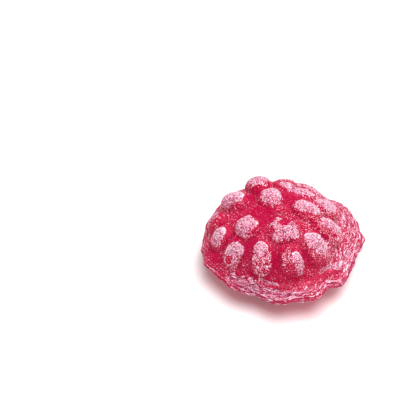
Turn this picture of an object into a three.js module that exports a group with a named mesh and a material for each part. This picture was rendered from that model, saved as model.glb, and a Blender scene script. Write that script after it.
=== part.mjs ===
// A boiled sweet stamped in the shape of a raspberry: one solid piece of red sugar.
// Millimetres, +Z up, z = 0 on the table, +X to the right and +Y away from the viewer.
// The upper face is a blunt dome covered in drupelets, the lower face has lobes round a dimple,
// and the thin seam left by the two halves of the mould runs round the middle.
import * as THREE from "three";

// Grid: each ring from a pole to the seam has four more vertices than the one before
const RINGS = 33;
const SEAM_RINGS = 7;
const RING_VERTICES = 4;

// Seam
const SEAM_HEIGHT = 4.6;
const SEAM_WAVES = [
  { size: 0.16, count: 2, phase: 4.0 },
  { size: 0.1, count: 5, phase: 2.1 },
  { size: 0.06, count: 11, phase: 0.4 },
];
const RAGGED_WAVES = [
  { size: 0.05, count: 17, phase: 1.3 },
  { size: 0.04, count: 27, phase: 0.2 },
];
// Radius of the seam at every 7.5 degrees from +X
const SEAM_RADII = [
  11.05, 10.8, 10.8, 10.7, 10.8, 10.55, 9.85, 9.75, 10.0, 10.25, 10.15, 10.4,
  10.35, 10.25, 10.3, 10.05, 10.2, 10.05, 9.95, 10.2, 10.15, 10.4, 10.55, 10.5,
  10.7, 10.9, 11.0, 11.3, 10.85, 10.6, 10.6, 10.55, 10.35, 10.1, 10.3, 10.95,
  11.0, 10.6, 10.9, 11.15, 10.6, 10.3, 10.95, 10.75, 10.6, 10.4, 10.35, 10.8,
];

// Upper face: radius and height above the seam, from the pole to the foot of the dome
const DOME_SHIFT = -0.8;
const DOME_STRETCH = 1.07;
const DOME_PROFILE = [
  [0, 5.93],
  [1.4, 5.95],
  [3.0, 5.9],
  [4.7, 5.45],
  [6.2, 4.6],
  [7.3, 3.3],
  [7.8, 2.0],
  [8.0, 0.75],
];
// Share of the way from the foot of the dome to the edge, and height above the seam
const UPPER_LEDGE = [
  [0.08, 0.62],
  [0.22, 0.7],
  [0.42, 0.95],
  [0.64, 0.82],
  [0.84, 0.55],
  [0.97, 0.25],
  [1, 0],
];
// Fillet in the corner between the dome and the seam: height at the dome's foot, fall per millimetre,
// and the azimuth and half width in degrees of the stretch that stays open as a groove
const CORNER_FILL = 1.75;
const CORNER_FALL = 0.62;
const GROOVE = { azimuth: 294, halfWidth: 30, blend: 15 };

// Lower face: the same, with depths below the seam
const BASE_PROFILE = [
  [0, 3.0],
  [1.7, 3.05],
  [3.1, 3.5],
  [4.8, 3.9],
  [6.3, 3.5],
  [7.5, 2.5],
  [8.2, 1.45],
  [8.6, 0.8],
];
const LOWER_LEDGE = [
  [0.12, 0.62],
  [0.3, 0.62],
  [0.5, 0.66],
  [0.7, 0.58],
  [0.87, 0.42],
  [0.97, 0.2],
  [1, 0],
];

// Drupelets: azimuth in degrees, way along the profile from the pole, half length along it,
// half width across it, rise, and a turn of the long way in degrees. A place can have its own rise
const SIDE_DRUPELET = { halfLength: 2.6, halfWidth: 1.45, rise: 0.95, turn: 0 };
const SIDE_PLACES = [
  { azimuth: 15, along: 6.6 },
  { azimuth: 48, along: 6.8, rise: 0.35 },
  { azimuth: 79, along: 6.9, rise: 0.5 },
  { azimuth: 112, along: 6.0, halfLength: 2.3, halfWidth: 1.65, rise: 1.2 },
  { azimuth: 154, along: 6.0, halfLength: 2.1, halfWidth: 1.5, rise: 1.25 },
  { azimuth: 176, along: 8.7, halfLength: 2.1, rise: 0.85 },
  { azimuth: 198, along: 8.4, halfLength: 2.2 },
  { azimuth: 222, along: 8.4, turn: 8 },
  { azimuth: 253, along: 7.4, turn: 3 },
  { azimuth: 284, along: 7.5, halfLength: 2.4 },
  { azimuth: 314.5, along: 7.2, halfWidth: 1.6, turn: -8 },
  { azimuth: 345, along: 7.4, halfLength: 2.5 },
];
const TOP_DRUPELETS = [
  { azimuth: 111, along: 2.45, halfLength: 1.6, halfWidth: 1.65, rise: 0.95, turn: 0 },
  { azimuth: 214, along: 4.45, halfLength: 1.7, halfWidth: 1.6, rise: 1.0, turn: 0 },
  { azimuth: 282, along: 3.35, halfLength: 1.75, halfWidth: 1.9, rise: 0.85, turn: 0 },
  { azimuth: 4, along: 3.6, halfLength: 2.0, halfWidth: 1.5, rise: 0.95, turn: -40 },
];
const BASE_LOBE = { along: 5.1, halfLength: 2.6, halfWidth: 1.9, rise: 0.8, turn: 0 };
const BASE_LOBES = 8;
const BASE_LOBE_START = 12;
// One half gives a drupelet the side of a ball, a higher number a gentler one
const DRUPELET_ROUNDNESS = 0.8;
// 2 makes a drupelet's outline an ellipse, a higher number nearer to a rounded rectangle
const DRUPELET_SQUARENESS = 2.5;

function waves(list, azimuth) {
  return list.reduce(
    (sum, wave) => sum + wave.size * Math.sin(wave.count * azimuth + wave.phase),
    0,
  );
}

// The seam radius between its measured values, and the small waves of its broken edge.
function seamRadius(azimuth) {
  const count = SEAM_RADII.length;
  const place = (azimuth / (2 * Math.PI)) * count;
  const first = Math.floor(place);
  const share = place - first;
  const [before, here, next, after] = [-1, 0, 1, 2].map(
    (step) => SEAM_RADII[(first + step + count) % count],
  );
  const slopeHere = (next - before) / 2;
  const slopeNext = (after - here) / 2;
  const square = share * share;
  const cube = square * share;
  const smooth =
    (2 * cube - 3 * square + 1) * here +
    (cube - 2 * square + share) * slopeHere +
    (3 * square - 2 * cube) * next +
    (cube - square) * slopeNext;
  return smooth + waves(RAGGED_WAVES, azimuth);
}

// A function that gives the point, outward normal and way from the pole at a share of a profile's length.
function smoothProfile(points) {
  const curve = new THREE.SplineCurve(points.map(([radius, height]) => new THREE.Vector2(radius, height)));
  const length = curve.getLength();
  return (share) => {
    const at = curve.getPointAt(share);
    const heading = curve.getTangentAt(share);
    return { radius: at.x, height: at.y, outward: -heading.y, upward: heading.x, along: share * length };
  };
}

function drupeletRise(drupelets, spot, azimuth) {
  let rise = 0;
  for (const drupelet of drupelets) {
    const angle = azimuth - THREE.MathUtils.degToRad(drupelet.azimuth);
    if (Math.cos(angle) <= 0) continue;
    const lengthways = spot.along * Math.cos(angle) - drupelet.along;
    const sideways = spot.radius * Math.sin(angle);
    const turn = THREE.MathUtils.degToRad(drupelet.turn);
    const long = (lengthways * Math.cos(turn) + sideways * Math.sin(turn)) / drupelet.halfLength;
    const wide = (sideways * Math.cos(turn) - lengthways * Math.sin(turn)) / drupelet.halfWidth;
    const reach =
      Math.abs(long) ** DRUPELET_SQUARENESS + Math.abs(wide) ** DRUPELET_SQUARENESS;
    const inside = 1 - reach ** (2 / DRUPELET_SQUARENESS);
    if (inside > 0) rise = Math.max(rise, drupelet.rise * Math.pow(inside, DRUPELET_ROUNDNESS));
  }
  return rise;
}

// Height above the seam of the fillet, which leaves the groove open and ends before the seam's edge.
function filletHeight(radius, foot, share, azimuth) {
  const turn = THREE.MathUtils.radToDeg(azimuth) - GROOVE.azimuth;
  const away = Math.abs(THREE.MathUtils.euclideanModulo(turn + 180, 360) - 180);
  const open = GROOVE.halfWidth - GROOVE.blend;
  const filled = THREE.MathUtils.smoothstep(away, open, GROOVE.halfWidth + GROOVE.blend);
  return CORNER_FILL * filled * (1 - share * share) - CORNER_FALL * (radius - foot);
}

// A point of a face: ring counts from 0 at the pole to RINGS at the seam.
function facePoint(face, ring, azimuth) {
  const bodyRings = RINGS - SEAM_RINGS;
  const seamLift = SEAM_HEIGHT + waves(SEAM_WAVES, azimuth);
  let radius, height, shift, stretch;
  let lift = SEAM_HEIGHT;
  let share = 0;
  const foot = face.profile(1).radius;
  if (ring <= bodyRings) {
    const spot = face.profile(ring / bodyRings);
    const rise = drupeletRise(face.drupelets, spot, azimuth);
    radius = spot.radius + rise * spot.outward;
    height = spot.height + rise * spot.upward;
    shift = face.shift;
    stretch = face.stretch;
  } else {
    [share, height] = face.ledge[ring - bodyRings - 1];
    radius = foot + (seamRadius(azimuth) - foot) * share;
    shift = face.shift * (1 - share);
    stretch = THREE.MathUtils.lerp(face.stretch, 1, share);
    lift = THREE.MathUtils.lerp(SEAM_HEIGHT, seamLift, share);
  }
  if (face.fillet) height = Math.max(height, filletHeight(radius, foot, share, azimuth));
  return new THREE.Vector3(
    shift + radius * stretch * Math.cos(azimuth),
    radius * Math.sin(azimuth),
    Math.max(lift + face.side * height, 0),
  );
}

function addFace(face, positions, indices) {
  const start = positions.length / 3;
  for (let ring = 0; ring <= RINGS; ring++) {
    const count = Math.max(1, RING_VERTICES * ring);
    for (let i = 0; i < count; i++) {
      positions.push(...facePoint(face, ring, (2 * Math.PI * i) / count).toArray());
    }
  }
  const vertex = (ring, i) => {
    if (ring === 0) return start;
    const count = RING_VERTICES * ring;
    return start + 1 + (RING_VERTICES * ring * (ring - 1)) / 2 + (i % count);
  };
  const addTriangle = (a, b, c) => indices.push(...(face.side > 0 ? [a, b, c] : [a, c, b]));
  for (let ring = 1; ring <= RINGS; ring++) {
    for (let quarter = 0; quarter < RING_VERTICES; quarter++) {
      const outer = quarter * ring;
      const inner = quarter * (ring - 1);
      for (let i = 0; i < ring; i++) {
        addTriangle(vertex(ring, outer + i), vertex(ring, outer + i + 1), vertex(ring - 1, inner + i));
        if (i === ring - 1) continue;
        addTriangle(vertex(ring - 1, inner + i), vertex(ring, outer + i + 1), vertex(ring - 1, inner + i + 1));
      }
    }
  }
}

function dropGeometry() {
  const upper = {
    side: 1,
    shift: DOME_SHIFT,
    stretch: DOME_STRETCH,
    profile: smoothProfile(DOME_PROFILE),
    ledge: UPPER_LEDGE,
    fillet: true,
    drupelets: [...TOP_DRUPELETS, ...SIDE_PLACES.map((place) => ({ ...SIDE_DRUPELET, ...place }))],
  };
  const lower = {
    side: -1,
    shift: 0,
    stretch: 1,
    profile: smoothProfile(BASE_PROFILE),
    ledge: LOWER_LEDGE,
    fillet: false,
    drupelets: Array.from({ length: BASE_LOBES }, (_, i) => ({
      ...BASE_LOBE,
      azimuth: BASE_LOBE_START + (i * 360) / BASE_LOBES,
    })),
  };
  const positions = [];
  const indices = [];
  addFace(upper, positions, indices);
  addFace(lower, positions, indices);
  const geometry = new THREE.BufferGeometry();
  geometry.setAttribute("position", new THREE.Float32BufferAttribute(positions, 3));
  geometry.setIndex(indices);
  geometry.computeBoundingBox();
  const { min, max } = geometry.boundingBox;
  geometry.translate(-(min.x + max.x) / 2, -(min.y + max.y) / 2, -min.z);
  geometry.computeVertexNormals();
  return geometry;
}

const boiledSugar = new THREE.MeshStandardMaterial({ color: 0xb3123a, roughness: 0.45 });
const drop = new THREE.Mesh(dropGeometry(), boiledSugar);
drop.name = "raspberry_drop";

const root = new THREE.Group();
root.add(drop);

export default root;
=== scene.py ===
"""A raspberry-shaped boiled sweet, dusted with fine sugar, on a white table.

The sweet's fine surface follows the same profiles, drupelets and seam as the CAD solid, with the crust of
sugar and the torn layers of the seam added. Small crystals are stuck all over the dusted places.
Shapes are given in millimetres, and turned into metres when their meshes are made, in the row frame: +Z up,
+X to the right and +Y away from the camera. Azimuths go round from +X, seen from above.
"""

import math

import bpy
import numpy as np
from mathutils import Matrix, Vector, noise


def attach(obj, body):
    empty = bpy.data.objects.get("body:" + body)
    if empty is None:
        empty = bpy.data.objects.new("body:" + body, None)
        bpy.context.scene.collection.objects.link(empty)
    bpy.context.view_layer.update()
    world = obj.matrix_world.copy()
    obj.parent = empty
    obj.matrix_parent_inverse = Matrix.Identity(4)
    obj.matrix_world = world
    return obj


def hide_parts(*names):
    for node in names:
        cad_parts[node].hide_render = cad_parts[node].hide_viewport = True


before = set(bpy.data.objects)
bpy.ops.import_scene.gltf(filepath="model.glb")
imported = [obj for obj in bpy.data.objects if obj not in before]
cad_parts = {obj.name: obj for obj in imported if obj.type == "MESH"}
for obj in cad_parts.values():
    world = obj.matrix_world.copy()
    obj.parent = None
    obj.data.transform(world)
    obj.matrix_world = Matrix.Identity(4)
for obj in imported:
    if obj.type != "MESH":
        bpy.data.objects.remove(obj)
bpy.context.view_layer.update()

MM = 0.001
SEED = 7

# Grid of each face: ring k has 4 k vertices, and the last rings make the seam, closest at its edge
RINGS = 210
SEAM_RINGS = 62
SEAM_RING_POWER = 1.3
# Vertices of the solid's rim, which its box is taken from
CAD_RIM_VERTICES = 132
# Close samples of a profile
PROFILE_SAMPLES = 2001

# Seam: height, then waves of its height and of its radius, each as size, count and phase
SEAM_HEIGHT = 4.6
SEAM_WAVES = [(0.16, 2, 4.0), (0.1, 5, 2.1), (0.06, 11, 0.4)]
RAGGED_WAVES = [(0.05, 17, 1.3), (0.04, 27, 0.2)]
# Radius of the seam at every 7.5 degrees
SEAM_RADII = [
    11.05, 10.8, 10.8, 10.7, 10.8, 10.55, 9.85, 9.75, 10.0, 10.25, 10.15, 10.4,
    10.35, 10.25, 10.3, 10.05, 10.2, 10.05, 9.95, 10.2, 10.15, 10.4, 10.55, 10.5,
    10.7, 10.9, 11.0, 11.3, 10.85, 10.6, 10.6, 10.55, 10.35, 10.1, 10.3, 10.95,
    11.0, 10.6, 10.9, 11.15, 10.6, 10.3, 10.95, 10.75, 10.6, 10.4, 10.35, 10.8,
]

# Upper face: radius and height above the seam, from the pole to the foot of the dome
DOME_SHIFT = -0.8
DOME_STRETCH = 1.07
DOME_PROFILE = [
    (0, 5.93), (1.4, 5.95), (3.0, 5.9), (4.7, 5.45), (6.2, 4.6), (7.3, 3.3), (7.8, 2.0), (8.0, 0.75),
]
# Share of the way from the foot of the dome to the edge, and height above the seam
UPPER_LEDGE = [
    (0, 0.75), (0.08, 0.5), (0.22, 0.38), (0.42, 0.36), (0.64, 0.34), (0.84, 0.28), (0.97, 0.16), (1, 0),
]

# Lower face: the same, with depths below the seam
BASE_PROFILE = [
    (0, 3.0), (1.7, 3.05), (3.1, 3.5), (4.8, 3.9), (6.3, 3.5), (7.5, 2.5), (8.2, 1.45), (8.6, 0.8),
]
LOWER_LEDGE = [
    (0, 0.8), (0.12, 0.62), (0.3, 0.62), (0.5, 0.66), (0.7, 0.58), (0.87, 0.42), (0.97, 0.2), (1, 0),
]

# Torn layers on the seam: distance in from the edge, how much that wanders, and height
SEAM_LAYERS = [(0.25, 0.3, 0.16), (0.6, 0.5, 0.13), (1.05, 0.7, 0.15), (1.55, 0.8, 0.12), (2.0, 0.9, 0.15)]
LAYER_EDGE = 0.05
# The layers' pale lips, dust that is partly a painted highlight, and the painted shade in the gaps below
# them: distance in from a layer's end, and width
LIP_BAND = (0.1, 0.07)
LIP_SHADE_BAND = (-0.08, 0.06)
# The layers rise from nothing over this distance from the foot of the dome
LAYER_FADE = 0.8
# Streaks along the seam: length and width, and how far in from the edge they fade
STREAK_LENGTH = 2.1
STREAK_WIDTH = 0.17
STREAK_FADE = (7, 3.5)
# Keeps the streaks of the two faces apart
STREAK_SHIFT = 90
# Sugar in the corner between dome and seam: height at the dome's foot, fall per millimetre, and softness
CORNER_FILL = 1.75
CORNER_FALL = 0.62
CORNER_BLEND = 0.5
# Azimuth and half width of the stretch that stays open as a groove, and how far its ends fade, in degrees
GROOVE_AZIMUTH = 294
GROOVE_HALF_WIDTH = 30
GROOVE_FADE = 15
# The groove's brighter red, painted light in the shaded groove, fades between these distances from the foot
# of the dome, faster on the seam
GROOVE_REACH = (2.2, 0.4)
GROOVE_SEAM_FACTOR = 2.4

# Drupelets: azimuth in degrees, way along the profile, half length, half width, turn in degrees, rise
UPPER_DRUPELETS = [
    (15, 6.6, 2.5, 1.45, 0, 0.95),
    (48, 6.8, 2.5, 1.45, 0, 0.35),
    (79, 6.9, 2.6, 1.45, 0, 0.5),
    (112, 6.0, 2.3, 1.65, 0, 1.2),
    (154, 6.0, 2.1, 1.5, 0, 1.25),
    (176, 8.7, 2.1, 1.4, 0, 0.85),
    (198, 8.4, 2.2, 1.3, 0, 0.95),
    (222, 8.4, 2.5, 1.3, 8, 0.95),
    (253, 7.4, 2.6, 1.4, 3, 0.95),
    (284, 7.5, 2.4, 1.5, 0, 0.95),
    (314.5, 7.2, 2.5, 1.6, -8, 0.95),
    (345, 7.4, 2.5, 1.4, 0, 0.95),
    (111, 2.45, 1.6, 1.65, 0, 0.95),
    (214, 4.45, 1.7, 1.6, 0, 1.0),
    (282, 3.35, 1.75, 1.9, 0, 0.85),
    (4, 3.6, 2.0, 1.5, -40, 0.95),
]
LOBES = 8
FIRST_LOBE = 12
LOBE_AZIMUTHS = [FIRST_LOBE + 360 / LOBES * i for i in range(LOBES)]
LOWER_LOBES = [(azimuth, 5.1, 2.6, 1.9, 0, 0.8) for azimuth in LOBE_AZIMUTHS]
# 1 makes a drupelet's profile a parabola, and 0.5 half an ellipse, with steeper sides
ROUNDNESS = 0.66
# 2 makes a drupelet's outline an ellipse, a higher number nearer to a rounded rectangle
SQUARENESS = 2.5

# Patches of sugar dust, given as the drupelets are, with how thick they are in place of the rise
UPPER_DUST = [
    (112, 6.0, 1.8, 1.4, 0, 1.0),
    (108, 2.3, 1.5, 1.5, 0, 0.88),
    (156, 5.9, 1.6, 1.25, 20, 1.1),
    (174, 8.7, 1.3, 0.9, 0, 0.6),
    (200, 8.1, 1.5, 0.9, 22, 0.95),
    (225, 8.3, 1.9, 1.05, 6, 0.78),
    (211, 4.45, 1.85, 1.5, 30, 0.92),
    (282, 3.95, 1.05, 1.85, 0, 0.8),
    (266, 2.2, 1.3, 0.95, -29, 0.95),
    (302, 3.2, 1.4, 0.65, -11, 0.65),
    (254, 7.8, 2.1, 1.25, 4, 0.53),
    (249.5, 6.15, 1.0, 0.95, 60, 0.92),
    (290, 8.1, 1.9, 0.68, 10, 0.82),
    (279, 7.2, 1.6, 0.75, -10, 0.4),
    (315.5, 6.5, 1.75, 1.25, 33, 1.05),
    (318, 8.0, 1.5, 1.1, 0, 0.5),
    (347, 6.8, 1.8, 0.85, 0, 1.1),
    (342, 8.8, 1.3, 0.9, 0, 0.45),
    (4.5, 3.6, 1.75, 1.0, -28, 1.1),
    (13, 6.1, 1.4, 0.8, -28, 1.1),
    (20, 7.6, 1.6, 1.0, 0, 0.75),
    (54, 4.9, 2.3, 0.85, -74, 0.85),
    (48, 7.5, 1.5, 1.15, 0, 0.85),
    (81, 7.3, 1.8, 1.15, 0, 0.85),
    (70, 4.9, 0.8, 1.5, 0, 0.85),
    (261, 11.0, 0.5, 1.5, 0, 0.8),
    (318.5, 11.2, 0.5, 1.9, -23, 0.85),
    (340.5, 12.1, 0.45, 0.7, -20, 0.85),
]
LOWER_DUST = [(azimuth, 5.1, 2.3, 1.5, 0, 0.9) for azimuth in LOBE_AZIMUTHS]
# Places where the dust is rubbed off the upper face, given the same way
BARE_PATCHES = [
    (293, 2.1, 0.8, 1.0, 0, 0.9),
    (224, 8.9, 0.7, 0.45, 0, 0.8),
    (329, 6.8, 0.7, 0.6, 15, 0.9),
    (335, 5.1, 1.3, 0.5, -42, 0.7),
    (131, 4.1, 0.9, 1.3, 0, 0.9),
    (205, 1.9, 1.5, 1.9, 0, 0.9),
    (60, 2.6, 1.0, 1.3, 0, 0.6),
    (236, 6.2, 1.8, 0.6, 0, 0.6),
    (268, 7.6, 2.0, 0.5, 0, 0.7),
    (301, 8.0, 1.8, 0.5, 0, 0.8),
    (308.5, 11.55, 0.4, 2.8, -17, 0.85),
    (203, 11.9, 1.3, 2.0, 0, 0.8),
]
# Degrees that the crisp far edge of a patch is turned towards +X
CRISP_WAY = 22
# Where a patch's edge turns from soft to crisp, from -1 at its near end to 1 at its far end
CRISP_RANGE = (-0.4, 0.5)
# How much the wobble fades at a crisp edge, the width of a soft edge and how much narrower a crisp one is
CRISP_STILLNESS = 0.7
SOFT_WIDTH = 0.7
CRISP_NARROWING = 0.5
# The pale rim along a crisp edge, a painted highlight: how strong it is inside the patch, and where it
# starts
RIM_INSIDE = 0.4
RIM_RANGE = (0.5, 0.15)
# Thickness of the patches that start to have a rim, and of those that have all of it
RIM_THICKNESS = (0.4, 1.05)
# Width of a rubbed place's edge, and how much it wobbles
BARE_WIDTH = 0.4
BARE_WOBBLE = 0.7

# How dusted the seam is at every 30 degrees, and how much less near its edge, by share of the way there
SEAM_DUSTING = [0.45, 0.55, 0.7, 0.6, 0.6, 0.6, 0.3, 0.05, 0.87, 0.67, 0.67, 0.57]
WORN_EDGE = 0.35
WORN_RANGE = (0.7, 0.95)
# Where the body's dusting turns into the seam's: start, width and wander, by share of the way to the edge
SEAM_START = 0.05
SEAM_CHANGE = 0.3
SEAM_WANDER = 0.12
# How much further out that starts at the groove, and how soon the groove's bed gets the paler veiled red,
# which is painted light there
GROOVE_DELAY = 0.3
GROOVE_BED_START = 0.02
# The right side is dustier between these places along +X, and its streaks are this strong off the seam
RIGHT_RANGE = (0.5, 5)
RIGHT_STREAKS = 0.8
# Painted light: the left flank gets a brighter red by this much between these places along +X
LEFT_PAINTED_LIGHT = 0.35
LEFT_RANGE = (-5, -8.5)
# Weights of what makes up the thin dust, the pale veil in the clear sugar, and the frost's paleness; the
# veil on the groove's bed is painted light, and the paleness on a rim is a painted highlight
THIN_DUST = {
    "everywhere": 0.08, "drifts": 0.12, "right": 0.06, "right_off_groove": 0.14, "streaked": 0.12,
}
THIN_DUST_MOST = 0.5
VEIL = {
    "everywhere": 0.04, "drifts": 0.15, "right": 0.34, "dusted_seam": 0.3, "patches": 0.25,
    "rubbed": -0.4, "groove_bed": 0.3,
}
PALENESS = {"patches": 0.25, "rim_highlight": 0.75, "seam": -0.1}
# The same for the dust of the patches, whose rim is a painted highlight, of the seam, and of the lips of its
# layers, which is partly a painted highlight
PATCH_DUST = {"everywhere": 0.82, "patches": 0.3, "rim_highlight": 0.35}
SEAM_DUST = {"everywhere": 0.85, "patches": 0.4}
LIP_DUST = 0.3

# Noise: height, size of its bumps in millimetres, octaves, and a shift that keeps it apart from the rest
EDGE_TEETH = (0.1, 0.8, 3, 4.0)
COARSE_WOBBLE = (0.32, 1.1, 2, 2.0)
FINE_WOBBLE = (0.3, 0.35, 2, 3.0)
PATCHES = (1, 0.8, 2, 2.0)
DRIFTS = (1, 4.0, 2, 40.0)
CRUST_LUMPS = (0.5, 0.3, 2, 21.0)
UNEVENNESS = (0.05, 1.3, 3, 31.0)
LAYER_ENDS = (1, 2.2, 5, 11.0)
LAYER_SHARPNESS = (1, 1.6, 2, 83.0)
# Added to the shift for each layer, and the noise between which a layer's end turns sharp
LAYER_SHIFT = 5
SHARP_RANGE = (-0.35, 0.35)
# Noise round the seam is read on a circle of this radius
NOISE_CIRCLE = 10
# The way that a shift goes, and how each octave of noise differs from the one before
SHIFT_WAY = np.array([1, 1.7, -0.6])
FRACTAL_FALL = 1.0
FRACTAL_STEP = 2.0

# Crust of sugar: how far it stands proud, its level before its lumps, and the dust that it comes with
CRUST = 0.06
CRUST_LEVEL = 0.8
CRUST_DUST = (0.3, 0.7)

# Frost: size of the loops of its lines, and the lines' widths in terms of the noise that they come from
LINE_LOOPS = 0.3
PALE_WIDTH = 0.05
DARK_WIDTH = 0.055
# Share of that width that is fully in the line
LINE_CORE = 0.3
# Size of the specks, and shifts that keep the three noises apart
SPECK_SIZE = 0.14
PALE_SHIFT = 1.0
DARK_SHIFT = 5.0
SPECK_SHIFT = 9.0
# How much the lines and specks add to the level of the powder
PALE_LINES = 0.35
DARK_LINES = -1.05
SPECKS = 2.0
# Share of that where there is no dust, share of it on a rim, and the paleness at which a rim starts and ends
PATTERN_THIN = 0.52
PATTERN_ON_RIM = 0.4
PATTERN_RANGE = (0.3, 0.65)
# How much the dust adds to that level, and the levels at which powder starts and covers all
DUST_LEVEL = 0.78
POWDER_RANGE = (0.32, 0.46)
# Dust between which the sugar that shows through the frost turns into dark hollows, the red sugar with
# painted shade in the holes
HOLLOW_RANGE = (0.3, 0.8)
# How the specks and pale lines change the veil and the paleness, and the range that paleness covers
VEIL_SPECKS = 5.0
PALE_SPECKS = 0.6
PALE_LINE_TINT = 0.8
PALE_RANGE = (0.15, 0.65)

# Sugar crystals: name, how many, and their size from the middle to a corner
GRAINS = [("coarse_sugar", 700, 0.08), ("fine_sugar", 4500, 0.05)]
SIZE_SPREAD = 0.3
CORNER_SPREAD = (0.65, 1.35)
OCTAHEDRON = [(1, 0, 0), (-1, 0, 0), (0, 1, 0), (0, -1, 0), (0, 0, 1), (0, 0, -1)]
OCTAHEDRON_FACES = [(0, 2, 4), (2, 1, 4), (1, 3, 4), (3, 0, 4), (2, 0, 5), (1, 2, 5), (3, 1, 5), (0, 3, 5)]
# Dust below which there are only stray crystals, and how likely those are
GRAIN_DUST = 0.25
STRAY_CHANCE = 0.001
# How far a crystal's middle is raised, as a share of its size, and how clear of the table it stays
GRAIN_LIFT = 0.3
TABLE_GAP = 0.02

# Colours, as linear light
CLEAR_RED = (0.31, 0.0, 0.03)
# Painted light: a brighter red for the shaded groove and the left flank
PAINTED_LIGHT_RED = (0.5, 0.008, 0.058)
# Red of the frost's holes and of the gaps below the layers' lips: the sugar showing through, darkened as
# painted shade
SHADED_HOLLOW_RED = (0.2, 0.024, 0.062)
VEILED_RED = (0.46, 0.056, 0.106)
POWDER_PINK = (0.5, 0.115, 0.215)
PALE_PINK = (0.82, 0.61, 0.7)
CRYSTAL_PINK = (0.68, 0.42, 0.51)
TABLE_WHITE = (0.85, 0.84, 0.84)
WHITE = (1, 1, 1)

# What the materials' shaders are set to, apart from their colours
SUGAR_ROUGHNESS = 0.5
SUGAR_SPECULAR = 0.06
# Share of light that the sugar scatters below its surface, and how far its red, green and blue go
SUBSURFACE = 0.7
SCATTER_RADIUS = (1.0, 0.35, 0.42)
SCATTER_MM = 2.0
# Painted glow: a faint red emission that lifts the shaded sugar and stands in for light through it
PAINTED_GLOW_RED = (1.0, 0.01, 0.12)
PAINTED_GLOW_STRENGTH = 0.045
CRYSTAL_ROUGHNESS = 0.35
CRYSTAL_SPECULAR = 0.5
TABLE_ROUGHNESS = 0.9
TABLE_SPECULAR = 0.1

# Camera: the photograph is 400 pixels square and shows the seam 22 mm wide
PHOTO_PIXELS = 400
PIXELS_PER_MM = 7.45
SEAM_CENTRE_PIXEL = (282, 240)
CAMERA_ELEVATION = 50
LENS_MM = 200
SENSOR_MM = 36
CLIP_START = 0.01

# Studio: half the table's side, and the strength of the light all round
TABLE_HALF = 400
WORLD_STRENGTH = 0.42
# Name, place, diameter and power of each lamp
LAMPS = [
    ("overhead", (15, -65, 250), 150, 0.74),
    ("behind", (95, 110, 200), 110, 0.32),
    ("right", (230, -60, 110), 120, 0.03),
]
# Red light inside the sweet that points down, for the light that comes through the sugar onto the table
TABLE_GLOW = ("glow_through_the_sugar", (0, 0, 3.9), 20.4, 0.0008)
TABLE_GLOW_COLOUR = (1, 0.12, 0.2)

UPPER = {
    "side": 1, "shift": DOME_SHIFT, "stretch": DOME_STRETCH, "profile": DOME_PROFILE, "ledge": UPPER_LEDGE,
    "drupelets": UPPER_DRUPELETS, "dust": UPPER_DUST, "bare": BARE_PATCHES,
}
LOWER = {
    "side": -1, "shift": 0, "stretch": 1, "profile": BASE_PROFILE, "ledge": LOWER_LEDGE,
    "drupelets": LOWER_LOBES, "dust": LOWER_DUST, "bare": [],
}


def waves(items, azimuth):
    """The sum of sine waves round the seam, each given as size, count and phase."""
    return sum(size * np.sin(count * azimuth + phase) for size, count, phase in items)


def noise_at(points, texture, extra_shift=0):
    """Smooth noise of about -1 to 1 times its height, at points in millimetres."""
    height, size, octaves, shift = texture
    shift += extra_shift
    places = (points / size + shift * SHIFT_WAY).tolist()
    return height * np.array([noise.fractal(place, FRACTAL_FALL, FRACTAL_STEP, octaves) for place in places])


def smooth_max(a, b, blend):
    gap = np.maximum(blend - np.abs(a - b), 0) / blend
    return np.maximum(a, b) + gap * gap * blend / 4


def smoothstep(low, high, value):
    share = np.clip((value - low) / (high - low), 0, 1)
    return share * share * (3 - 2 * share)


def bell(value, middle, width):
    return np.exp(-(((value - middle) / width) ** 2))


def weighted(weights, parts):
    """The sum of the named parts, each times its weight."""
    return sum(weight * parts[name] for name, weight in weights.items())


def catmull_rom(values, place, closed=False):
    """The smooth curve through values at place, which counts from one value to the next."""
    values = np.asarray(values, float)
    count = len(values)
    first = np.floor(place).astype(int)
    if not closed:
        first = np.clip(first, 0, count - 2)
    share = place - first
    ends = [first + offset for offset in (-1, 0, 1, 2)]
    before, here, following, beyond = (
        values[end % count] if closed else values[np.clip(end, 0, count - 1)] for end in ends
    )
    if values.ndim > 1:
        share = share[:, None]
    slope_here = (following - before) / 2
    slope_next = (beyond - here) / 2
    return (
        (2 * share**3 - 3 * share**2 + 1) * here
        + (share**3 - 2 * share**2 + share) * slope_here
        + (3 * share**2 - 2 * share**3) * following
        + (share**3 - share**2) * slope_next
    )


def round_the_seam(values, azimuth):
    """The smooth closed curve through values that stand at even steps of azimuth."""
    return catmull_rom(values, azimuth / (2 * math.pi) * len(values), closed=True)


def smooth_profile(points):
    """Way along, radius, height and outward normal at close samples of a profile."""
    curve = catmull_rom(points, np.linspace(0, len(points) - 1, PROFILE_SAMPLES))
    along = np.concatenate([[0], np.cumsum(np.hypot(*np.diff(curve, axis=0).T))])
    tangent = np.gradient(curve, along, axis=0)
    tangent /= np.linalg.norm(tangent, axis=1)[:, None]
    return along, curve[:, 0], curve[:, 1], -tangent[:, 1], tangent[:, 0]


def seam_radius(azimuth):
    return round_the_seam(SEAM_RADII, azimuth) + waves(RAGGED_WAVES, azimuth)


def seam_offset():
    """The middle of the solid's box in plan, which the row frame has at its origin."""
    azimuth = np.arange(CAD_RIM_VERTICES) * 2 * math.pi / CAD_RIM_VERTICES
    radius = seam_radius(azimuth)
    x = radius * np.cos(azimuth)
    y = radius * np.sin(azimuth)
    return (x.min() + x.max()) / 2, (y.min() + y.max()) / 2


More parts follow.
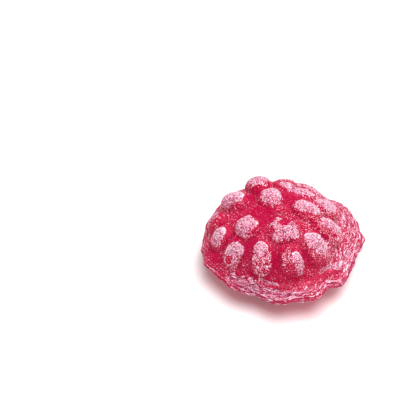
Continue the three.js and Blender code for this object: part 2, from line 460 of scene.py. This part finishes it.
def blob(outline, along, radius, azimuth):
    """How far each point is inside a drupelet or patch, 1 at its middle, and how far on its far side."""
    heading, centre, half_length, half_width, turn = outline
    heading, turn, crisp_way = (math.radians(angle) for angle in (heading, turn, CRISP_WAY))
    angle = azimuth - heading
    lengthways = along * np.cos(angle) - centre
    sideways = radius * np.sin(angle)
    long = (lengthways * math.cos(turn) + sideways * math.sin(turn)) / half_length
    wide = (sideways * math.cos(turn) - lengthways * math.sin(turn)) / half_width
    distance = (np.abs(long) ** SQUARENESS + np.abs(wide) ** SQUARENESS) ** (2 / SQUARENESS)
    middle = centre * math.sin(heading + crisp_way)
    behind = (along * np.sin(azimuth + crisp_way) - middle) / half_length
    return np.where(np.cos(angle) > 0, 1 - distance, -1), behind


def drupelet_rise(drupelets, along, radius, azimuth):
    """How far the drupelets raise each point."""
    rise = np.zeros_like(along)
    for *outline, height in drupelets:
        inside, _ = blob(outline, along, radius, azimuth)
        rise = np.maximum(rise, height * np.clip(inside, 0, 1) ** ROUNDNESS)
    return rise


def dust_fields(face, along, radius, azimuth, wobble):
    """At each point, how thick the dust is, how near a patch's crisp edge with its painted highlight, and
    how much is rubbed off.
    """
    dust, rim_highlight, rubbed = np.zeros((3, len(along)))
    for *outline, thickness in face["dust"]:
        inside, behind = blob(outline, along, radius, azimuth)
        crisp = smoothstep(*CRISP_RANGE, behind)
        inside = inside + (1 - CRISP_STILLNESS * crisp) * wobble
        amount = thickness * smoothstep(0, SOFT_WIDTH - CRISP_NARROWING * crisp, inside)
        edge = crisp * (RIM_INSIDE + (1 - RIM_INSIDE) * smoothstep(*RIM_RANGE, inside))
        rim_highlight = np.where(amount > dust, edge * smoothstep(*RIM_THICKNESS, thickness), rim_highlight)
        dust = np.maximum(dust, amount)
    for *outline, depth in face["bare"]:
        inside, _ = blob(outline, along, radius, azimuth)
        rubbed = np.maximum(rubbed, depth * smoothstep(0, BARE_WIDTH, inside + BARE_WOBBLE * wobble))
    return dust, rim_highlight, rubbed


def ring_grid():
    """Ring and azimuth of each vertex of a face, and its triangles, facing up."""
    rings = [np.zeros(1, int)] + [np.full(4 * k, k) for k in range(1, RINGS + 1)]
    azimuths = [np.zeros(1)] + [np.arange(4 * k) * math.pi / (2 * k) for k in range(1, RINGS + 1)]
    triangles = []
    for k in range(1, RINGS + 1):
        start = 1 + 2 * k * (k - 1)
        inner_count = max(1, 4 * (k - 1))
        inner_start = start - inner_count
        quarter, i = np.divmod(np.arange(4 * k), k)
        inner = (quarter * (k - 1) + i) % inner_count
        inner_next = inner_start + (inner + 1) % inner_count
        outer = start + quarter * k + i
        outer_next = start + (quarter * k + i + 1) % (4 * k)
        triangles.append(np.stack([outer, outer_next, inner_start + inner], 1))
        triangles.append(np.stack([inner_start + inner, outer_next, inner_next], 1)[i < k - 1])
    return np.concatenate(rings), np.concatenate(azimuths), np.concatenate(triangles)


def face_surface(face, ring, azimuth):
    """Vertices of one face in millimetres about the seam's centre, and the fields that the dust follows."""
    body_rings = RINGS - SEAM_RINGS
    samples = smooth_profile(face["profile"])
    profile_length = samples[0][-1]
    along = np.minimum(ring / body_rings, 1) * profile_length
    radius, height, outward, upward = (np.interp(along, samples[0], s) for s in samples[1:])
    rise = drupelet_rise(face["drupelets"], along, radius, azimuth)

    share = np.clip((ring - body_rings) / SEAM_RINGS, 0, 1)
    share = 1 - (1 - share) ** SEAM_RING_POWER
    on_seam = share > 0
    heading = np.stack([np.cos(azimuth), np.sin(azimuth), 0 * azimuth], 1)
    edge = seam_radius(azimuth)
    edge[on_seam] += noise_at(heading[on_seam] * NOISE_CIRCLE, EDGE_TEETH)
    foot = face["profile"][-1][0]
    reach = foot + (edge - foot) * share
    seam_height = np.interp(share, *np.array(face["ledge"]).T)
    lip = np.zeros(len(ring))
    if face["side"] > 0:
        steps, lip[on_seam] = layer_steps(heading[on_seam], edge[on_seam], reach[on_seam])
        seam_height[on_seam] += steps
    flat_radius = np.where(on_seam, reach, radius)
    radius = np.where(on_seam, reach, radius + rise * outward)
    height = np.where(on_seam, seam_height, height + rise * upward)

    away = np.abs((np.degrees(azimuth) - GROOVE_AZIMUTH + 180) % 360 - 180)
    filled = smoothstep(GROOVE_HALF_WIDTH - GROOVE_FADE, GROOVE_HALF_WIDTH + GROOVE_FADE, away)
    if face["side"] > 0:
        fillet = CORNER_FILL * filled * (1 - share**2) - CORNER_FALL * (radius - foot)
        height = smooth_max(height, fillet, CORNER_BLEND)
    lift = SEAM_HEIGHT + share * waves(SEAM_WAVES, azimuth)
    stretch = face["stretch"] + (1 - face["stretch"]) * share
    x = face["shift"] * (1 - share) + radius * stretch * np.cos(azimuth)
    y = radius * np.sin(azimuth)
    vertices = np.stack([x, y, lift + face["side"] * height], 1)

    wobble = noise_at(vertices, COARSE_WOBBLE) + noise_at(vertices, FINE_WOBBLE)
    along_both = along + np.maximum(reach - foot, 0)
    dust, rim_highlight, rubbed = dust_fields(face, along_both, flat_radius, azimuth, wobble)
    inset = edge - reach + profile_length - along
    streak_place = heading * SEAM_RADII[0] / STREAK_LENGTH
    streak_place[:, 2] = inset / STREAK_WIDTH + STREAK_SHIFT * face["side"]
    # How far from the dome's foot, for the groove's painted light
    from_foot = np.where(on_seam, GROOVE_SEAM_FACTOR * (reach - foot), profile_length - along)
    return vertices, {
        "dust": dust,
        "rim_highlight": rim_highlight,
        "rubbed": rubbed,
        "share": share,
        "lip": lip,
        "filled": filled,
        "groove": (1 - filled) * smoothstep(*GROOVE_REACH, from_foot),
        "near_edge": filled * smoothstep(*STREAK_FADE, inset),
        "seam_dusting": round_the_seam(SEAM_DUSTING, azimuth),
        "streak_place": streak_place,
    }


def layer_steps(heading, edge, reach):
    """Height that the torn layers add to the seam, and 1 on the lip of a layer, partly a painted highlight,
    -1 just below it, where shade is painted.
    """
    total = np.zeros_like(edge)
    lip = np.zeros_like(edge)
    circle = heading * NOISE_CIRCLE
    for i, (inset, wander, height) in enumerate(SEAM_LAYERS):
        end = edge - inset + wander * noise_at(circle, LAYER_ENDS, LAYER_SHIFT * i)
        inside = end - reach
        total += height * smoothstep(-LAYER_EDGE, LAYER_EDGE, inside)
        sharp = smoothstep(*SHARP_RANGE, noise_at(circle, LAYER_SHARPNESS, LAYER_SHIFT * i))
        # Pale lip, partly a painted highlight, and painted shade just below it
        lip += sharp * (bell(inside, *LIP_BAND) - bell(inside, *LIP_SHADE_BAND))
    fade = smoothstep(0, LAYER_FADE, reach - DOME_PROFILE[-1][0])
    return total * fade, lip * fade


def make_mesh(name, vertices, triangles, material):
    """A mesh object of triangles, from vertices in millimetres."""
    mesh = bpy.data.meshes.new(name)
    mesh.vertices.add(len(vertices))
    mesh.vertices.foreach_set("co", (vertices * MM).astype(np.float32).ravel())
    mesh.loops.add(3 * len(triangles))
    mesh.loops.foreach_set("vertex_index", triangles.astype(np.int32).ravel())
    mesh.polygons.add(len(triangles))
    mesh.polygons.foreach_set("loop_start", np.arange(0, 3 * len(triangles), 3, dtype=np.int32))
    mesh.update(calc_edges=True)
    mesh.materials.append(material)
    made = bpy.data.objects.new(name, mesh)
    bpy.context.scene.collection.objects.link(made)
    return made


def vertex_normals(vertices, triangles):
    a, b, c = (vertices[triangles[:, i]] for i in range(3))
    flat = np.cross(b - a, c - a)
    normals = np.zeros_like(vertices)
    for i in range(3):
        np.add.at(normals, triangles[:, i], flat)
    return normals / (np.linalg.norm(normals, axis=1)[:, None] + 1e-12)


def sweet_surface():
    """Vertices in millimetres in the row frame, each face's triangles, and what the colours follow."""
    ring, azimuth, upper_triangles = ring_grid()
    upper, upper_fields = face_surface(UPPER, ring, azimuth)
    lower, lower_fields = face_surface(LOWER, ring, azimuth)
    inner = ring < RINGS
    lower_index = np.arange(len(ring))
    lower_index[inner] = len(ring) + np.arange(inner.sum())
    lower_triangles = lower_index[upper_triangles][:, ::-1]
    middle_x, middle_y = seam_offset()
    vertices = np.concatenate([upper, lower[inner]]) - [middle_x, middle_y, 0]
    fields = {
        name: np.concatenate([values, lower_fields[name][inner]]) for name, values in upper_fields.items()
    }
    normals = vertex_normals(vertices, np.concatenate([upper_triangles, lower_triangles]))

    colours = crust_fields(vertices, fields)
    crust = CRUST * smoothstep(*CRUST_DUST, colours["dust"])
    relief = crust * (CRUST_LEVEL + noise_at(vertices, CRUST_LUMPS)) + noise_at(vertices, UNEVENNESS)
    vertices = vertices + normals * relief[:, None]
    vertices[:, 2] = np.maximum(vertices[:, 2], 0)
    return vertices, upper_triangles, lower_triangles, colours


def crust_fields(vertices, fields):
    """What the sugar's colours follow at each vertex, most of it from 0 to 1."""
    patches = noise_at(vertices, PATCHES)
    share, filled = fields["share"], fields["filled"]
    right = smoothstep(*RIGHT_RANGE, vertices[:, 0])
    start = SEAM_START + GROOVE_DELAY * (1 - filled)
    on_seam = smoothstep(start, start + SEAM_CHANGE, share + SEAM_WANDER * patches)
    streaked = np.maximum(on_seam, RIGHT_STREAKS * right * fields["near_edge"])
    parts = {
        "everywhere": 1,
        "patches": patches,
        "drifts": noise_at(vertices, DRIFTS),
        "right": right,
        "right_off_groove": right * filled,
        "streaked": streaked,
        "seam": on_seam,
        "dusted_seam": on_seam * fields["seam_dusting"],
        "rim_highlight": fields["rim_highlight"],
        "rubbed": fields["rubbed"],
        "groove_bed": (1 - filled) * smoothstep(0, GROOVE_BED_START, share) * (1 - on_seam),
    }
    thin = np.clip(weighted(THIN_DUST, parts), 0, THIN_DUST_MOST)
    worn = 1 - WORN_EDGE * smoothstep(*WORN_RANGE, share)
    seam_dust = parts["dusted_seam"] * weighted(SEAM_DUST, parts) * worn
    patch_dust = fields["dust"] * weighted(PATCH_DUST, parts)
    dust = np.maximum(np.maximum(patch_dust, seam_dust), thin) * (1 - fields["rubbed"])
    # Painted light on the left flank
    left_painted_light = LEFT_PAINTED_LIGHT * smoothstep(*LEFT_RANGE, vertices[:, 0])
    # Dust on the layers' lips is partly a painted highlight, and the gap below each lip is painted shade
    return {
        "dust": dust + LIP_DUST * np.clip(fields["lip"], 0, 1) * on_seam,
        "veil": weighted(VEIL, parts),
        "paleness": weighted(PALENESS, parts),
        "gap": np.clip(-fields["lip"], 0, 1),
        "painted_light": np.maximum(fields["groove"], left_painted_light),
        "streaked": streaked,
        "streak_place": fields["streak_place"],
    }


def scatter_grains(vertices, triangles, dust, count, typical_size, rng):
    """Corners and triangles of half-sunk crystals, more of them where the dust is thicker."""
    a, b, c = (vertices[triangles[:, i]] for i in range(3))
    cross = np.cross(b - a, c - a)
    area = np.linalg.norm(cross, axis=1) / 2
    chance = area * (np.clip(dust[triangles].mean(1) - GRAIN_DUST, 0, 1) ** 2 + STRAY_CHANCE)
    chosen = rng.choice(len(triangles), count, p=chance / chance.sum())
    blend = rng.dirichlet((1, 1, 1), count)
    middle = sum(blend[:, i, None] * vertices[triangles[chosen, i]] for i in range(3))
    normal = cross[chosen] / (2 * area[chosen, None])
    size = typical_size * np.exp(SIZE_SPREAD * rng.standard_normal(count))
    middle = middle + normal * (GRAIN_LIFT * size)[:, None]
    turns = random_turns(rng, count)
    corners = np.array(OCTAHEDRON, float) * rng.uniform(*CORNER_SPREAD, (count, len(OCTAHEDRON), 1))
    points = np.einsum("nij,nkj->nki", turns, corners * size[:, None, None]) + middle[:, None]
    points = points[points[:, :, 2].min(1) > TABLE_GAP]
    index = np.arange(len(points))[:, None, None] * len(OCTAHEDRON) + np.array(OCTAHEDRON_FACES)
    return points.reshape(-1, 3), index.reshape(-1, 3)


def random_turns(rng, count):
    """Evenly random rotation matrices."""
    q = rng.standard_normal((count, 4))
    w, x, y, z = (q / np.linalg.norm(q, axis=1)[:, None]).T
    rows = [
        [1 - 2 * (y * y + z * z), 2 * (x * y - z * w), 2 * (x * z + y * w)],
        [2 * (x * y + z * w), 1 - 2 * (x * x + z * z), 2 * (y * z - x * w)],
        [2 * (x * z - y * w), 2 * (y * z + x * w), 1 - 2 * (x * x + y * y)],
    ]
    return np.array(rows).transpose(2, 0, 1)


def new_material(name, roughness, specular):
    """A material with nodes, and its tree and shader."""
    material = bpy.data.materials.new(name)
    material.use_nodes = True
    tree = material.node_tree
    shader = tree.nodes["Principled BSDF"]
    shader.inputs["Roughness"].default_value = roughness
    shader.inputs["Specular IOR Level"].default_value = specular
    return material, tree, shader


def plain_material(name, colour, roughness, specular):
    material, _, shader = new_material(name, roughness, specular)
    shader.inputs["Base Color"].default_value = (*colour, 1)
    return material


def connect(tree, term, socket):
    """Links a term to a socket if it is a socket too, and otherwise sets the socket to it."""
    if isinstance(term, bpy.types.NodeSocket):
        tree.links.new(term, socket)
    else:
        socket.default_value = term


def calc(tree, operation, *terms):
    node = tree.nodes.new("ShaderNodeMath")
    node.operation = operation
    for socket, term in zip(node.inputs, terms):
        connect(tree, term, socket)
    return node.outputs["Value"]


def mix(tree, kind, factor, first, second):
    node = tree.nodes.new("ShaderNodeMix")
    node.data_type = kind
    for name, term in (("Factor", factor), ("A", first), ("B", second)):
        connect(tree, term, node.inputs[name])
    return node.outputs["Result"]


def step(tree, source, low, high, start=0.0, end=1.0):
    """A smooth step from start to end as the source goes from low to high."""
    node = tree.nodes.new("ShaderNodeMapRange")
    node.interpolation_type = "SMOOTHSTEP"
    terms = {"Value": source, "From Min": low, "From Max": high, "To Min": start, "To Max": end}
    for name, term in terms.items():
        connect(tree, term, node.inputs[name])
    return node.outputs["Result"]


def noise_field(tree, place, scale, shift):
    """Noise of about -0.2 to 0.2."""
    texture = tree.nodes.new("ShaderNodeTexNoise")
    texture.noise_dimensions = "4D"
    texture.inputs["Scale"].default_value = scale
    texture.inputs["W"].default_value = shift
    texture.inputs["Detail"].default_value = 1
    tree.links.new(place, texture.inputs["Vector"])
    return calc(tree, "SUBTRACT", texture.outputs["Fac"], 0.5)


def wandering_lines(tree, place, streak_place, streaked, shift, width):
    """1 on thin lines that wander over the body and run along the seam, 0 away from them."""
    loops = noise_field(tree, place, 1 / (LINE_LOOPS * MM), shift)
    streaks = noise_field(tree, streak_place, 1.0, shift)
    field = mix(tree, "FLOAT", streaked, loops, streaks)
    return step(tree, calc(tree, "ABSOLUTE", field), LINE_CORE * width, width, 1.0, 0.0)


def read_fields(tree, names):
    """Sockets that give the mesh's fields of these names."""
    sockets = {}
    for name in names:
        attribute = tree.nodes.new("ShaderNodeAttribute")
        attribute.attribute_name = name
        sockets[name] = attribute.outputs["Vector" if name == "streak_place" else "Fac"]
    return sockets


def sugar_material():
    """Deep red boiled sugar, paler where it is veiled, under pink powder with pale and dark lines."""
    material, tree, shader = new_material("boiled_sugar", SUGAR_ROUGHNESS, SUGAR_SPECULAR)
    shader.inputs["Subsurface Weight"].default_value = SUBSURFACE
    shader.inputs["Subsurface Radius"].default_value = SCATTER_RADIUS
    shader.inputs["Subsurface Scale"].default_value = SCATTER_MM * MM
    # Painted glow on the sugar
    shader.inputs["Emission Color"].default_value = (*PAINTED_GLOW_RED, 1)
    shader.inputs["Emission Strength"].default_value = PAINTED_GLOW_STRENGTH
    fields = read_fields(tree, ("dust", "veil", "paleness", "gap", "painted_light", "streaked", "streak_place"))
    dust, gap = fields["dust"], fields["gap"]
    place = tree.nodes.new("ShaderNodeTexCoord").outputs["Object"]
    places = (place, fields["streak_place"], fields["streaked"])
    pale_lines = wandering_lines(tree, *places, PALE_SHIFT, PALE_WIDTH)
    dark_lines = wandering_lines(tree, *places, DARK_SHIFT, DARK_WIDTH)
    specks = noise_field(tree, place, 1 / (SPECK_SIZE * MM), SPECK_SHIFT)

    pattern = calc(tree, "MULTIPLY_ADD", pale_lines, PALE_LINES, calc(tree, "MULTIPLY", specks, SPECKS))
    pattern = calc(tree, "MULTIPLY_ADD", dark_lines, DARK_LINES, pattern)
    strength = calc(tree, "MULTIPLY_ADD", dust, 1 - PATTERN_THIN, PATTERN_THIN)
    pattern = calc(tree, "MULTIPLY", pattern, strength)
    strength = step(tree, fields["paleness"], *PATTERN_RANGE, 1.0, PATTERN_ON_RIM)
    pattern = calc(tree, "MULTIPLY", pattern, strength)
    level = calc(tree, "SUBTRACT", calc(tree, "MULTIPLY_ADD", dust, DUST_LEVEL, pattern), gap)
    powder = step(tree, level, *POWDER_RANGE)
    bare = calc(tree, "SUBTRACT", 1.0, powder)
    # Holes in thick frost and the gaps below the lips take the darker red: the sugar showing through, with
    # painted shade
    shaded_hollow = calc(tree, "MAXIMUM", calc(tree, "MULTIPLY", bare, step(tree, dust, *HOLLOW_RANGE)), gap)
    veil = step(tree, calc(tree, "MULTIPLY_ADD", specks, VEIL_SPECKS, fields["veil"]), 0.0, 1.0)
    paleness = calc(tree, "MULTIPLY_ADD", specks, PALE_SPECKS, fields["paleness"])
    paleness = calc(tree, "MULTIPLY_ADD", pale_lines, PALE_LINE_TINT, paleness)
    paleness = step(tree, paleness, *PALE_RANGE)

    # Painted light: the brighter red on the groove and the left flank
    clear = mix(tree, "RGBA", fields["painted_light"], (*CLEAR_RED, 1), (*PAINTED_LIGHT_RED, 1))
    clear = mix(tree, "RGBA", veil, clear, (*VEILED_RED, 1))
    clear = mix(tree, "RGBA", shaded_hollow, clear, (*SHADED_HOLLOW_RED, 1))
    frost = mix(tree, "RGBA", paleness, (*POWDER_PINK, 1), (*PALE_PINK, 1))
    tree.links.new(mix(tree, "RGBA", powder, clear, frost), shader.inputs["Base Color"])
    return material


def make_half(name, vertices, triangles, fields, material):
    """Half of the sweet's surface, with its fields as attributes, in place of the CAD node."""
    used, index = np.unique(triangles, return_inverse=True)
    half = make_mesh(name, vertices[used], index.reshape(-1, 3), material)
    half.data.shade_smooth()
    for field, values in fields.items():
        kind, value_name = ("FLOAT_VECTOR", "vector") if values.ndim > 1 else ("FLOAT", "value")
        attribute = half.data.attributes.new(field, kind, "POINT")
        attribute.data.foreach_set(value_name, values[used].astype(np.float32).ravel())
    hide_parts("raspberry_drop")
    return half


def make_sweet():
    rng = np.random.default_rng(SEED)
    vertices, upper_triangles, lower_triangles, fields = sweet_surface()
    sugar = sugar_material()
    pieces = [
        make_half("sweet_top", vertices, upper_triangles, fields, sugar),
        make_half("sweet_base", vertices, lower_triangles, fields, sugar),
    ]
    crystals = plain_material("sugar_crystals", CRYSTAL_PINK, CRYSTAL_ROUGHNESS, CRYSTAL_SPECULAR)
    triangles = np.concatenate([upper_triangles, lower_triangles])
    for name, count, size in GRAINS:
        corners, faces = scatter_grains(vertices, triangles, fields["dust"], count, size, rng)
        pieces.append(make_mesh(name, corners, faces, crystals))
    for piece in pieces:
        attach(piece, "root")


def make_camera():
    elevation = math.radians(CAMERA_ELEVATION)
    right = Vector((1, 0, 0))
    up = Vector((0, math.sin(elevation), math.cos(elevation)))
    back = Vector((0, -math.cos(elevation), math.sin(elevation)))
    middle_x, middle_y = seam_offset()
    seam_centre = Vector((-middle_x, -middle_y, SEAM_HEIGHT))
    across, down = ((pixel - PHOTO_PIXELS / 2) / PIXELS_PER_MM for pixel in SEAM_CENTRE_PIXEL)
    target = seam_centre - right * across + up * down
    distance = PHOTO_PIXELS / PIXELS_PER_MM * LENS_MM / SENSOR_MM
    data = bpy.data.cameras.new("camera")
    data.lens = LENS_MM
    data.sensor_width = SENSOR_MM
    data.clip_start = CLIP_START
    camera = bpy.data.objects.new("camera", data)
    turn = Matrix((right, up, back)).transposed().to_4x4()
    camera.matrix_world = Matrix.Translation((target + back * distance) * MM) @ turn
    bpy.context.scene.collection.objects.link(camera)
    bpy.context.scene.camera = camera


def area_light(name, place, size, power, colour=WHITE):
    """A round lamp that points at the origin."""
    data = bpy.data.lights.new(name, "AREA")
    data.shape = "DISK"
    data.size = size * MM
    data.energy = power
    data.color = colour
    light = bpy.data.objects.new(name, data)
    light.location = Vector(place) * MM
    light.rotation_euler = (-Vector(place)).to_track_quat("-Z", "Y").to_euler()
    bpy.context.scene.collection.objects.link(light)
    return light


def make_studio():
    material = plain_material("white_table", TABLE_WHITE, TABLE_ROUGHNESS, TABLE_SPECULAR)
    corners = TABLE_HALF * np.array([(-1, -1, 0), (1, -1, 0), (1, 1, 0), (-1, 1, 0)], float)
    make_mesh("table", corners, np.array([(0, 1, 2), (0, 2, 3)]), material)
    world = bpy.data.worlds.new("studio")
    bpy.context.scene.world = world
    world.use_nodes = True
    background = world.node_tree.nodes["Background"]
    background.inputs["Color"].default_value = (*WHITE, 1)
    background.inputs["Strength"].default_value = WORLD_STRENGTH
    for lamp in LAMPS:
        area_light(*lamp)
    area_light(*TABLE_GLOW, TABLE_GLOW_COLOUR).visible_camera = False
    bpy.context.scene.view_settings.view_transform = "Standard"


make_camera()
make_sweet()
make_studio()
